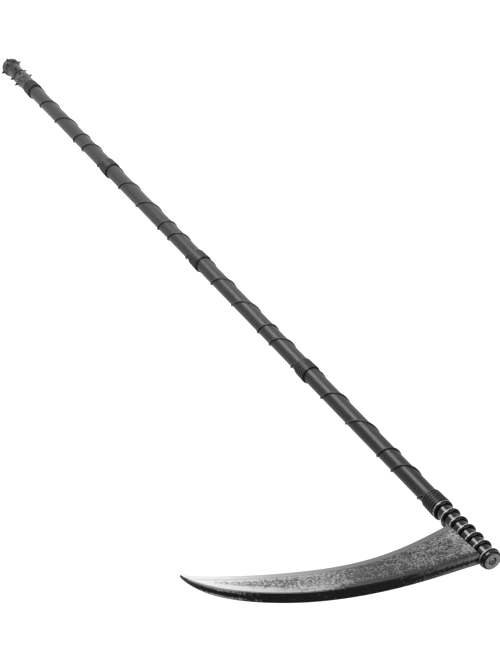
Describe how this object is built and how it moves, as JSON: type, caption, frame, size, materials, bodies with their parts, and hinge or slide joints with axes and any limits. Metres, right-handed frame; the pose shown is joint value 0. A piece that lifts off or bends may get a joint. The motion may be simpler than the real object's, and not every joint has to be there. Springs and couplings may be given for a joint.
{
  "type": "knock-down stage scythe",
  "caption": "Full-length plastic costume scythe: plug-together shaft sections with a spiral ridge, spiked butt knob, ringed head and a hollow curved blade.",
  "frame": {"origin": "point of the butt spike, on the shaft's axis", "axes": "+Z along the shaft from the spiked knob to the head, +X the way the blade points, +Y to the blade's far face"},
  "size_m": [0.3322, 0.0372, 1.4872],
  "materials": {
    "satin_shaft": "satin moulded plastic, near black",
    "brushed_knob": "black plastic dry-brushed with grey",
    "black_spikes": "satin black",
    "gloss_barrel": "gloss black with silver paint on one shoulder of each ring",
    "grey_cap": "gloss black ring with a matt silver-grey painted nose",
    "cap_screw": "dull zinc",
    "silvered_blade": "sponge-mottled silver paint over black, bare black along the spine"
  },
  "bodies": {
    "section_2": {"shaft_section_2": "satin_shaft"},
    "section_1": {"shaft_section_1": "satin_shaft"},
    "finial": {"finial_knob": "brushed_knob", "finial_spikes": "black_spikes"},
    "section_3": {"shaft_section_3": "satin_shaft"},
    "section_4": {"shaft_section_4": "satin_shaft"},
    "head": {"head_barrel": "gloss_barrel", "end_cap": "grey_cap", "end_cap_screw": "cap_screw", "blade_near_half": "silvered_blade", "blade_far_half": "silvered_blade"}
  },
  "joints": [
    {"name": "section_1_pull", "type": "slide", "parent": "section_2", "child": "section_1", "axis": [0, 0, -1], "range_m": [0, 0.022]},
    {"name": "finial_pull", "type": "slide", "parent": "section_1", "child": "finial", "axis": [0, 0, -1], "range_m": [0, 0.022]},
    {"name": "section_3_pull", "type": "slide", "parent": "section_2", "child": "section_3", "axis": [0, 0, 1], "range_m": [0, 0.022]},
    {"name": "section_4_pull", "type": "slide", "parent": "section_3", "child": "section_4", "axis": [0, 0, 1], "range_m": [0, 0.022]},
    {"name": "head_pull", "type": "slide", "parent": "section_4", "child": "head", "axis": [0, 0, 1], "range_m": [0, 0.022]}
  ]
}
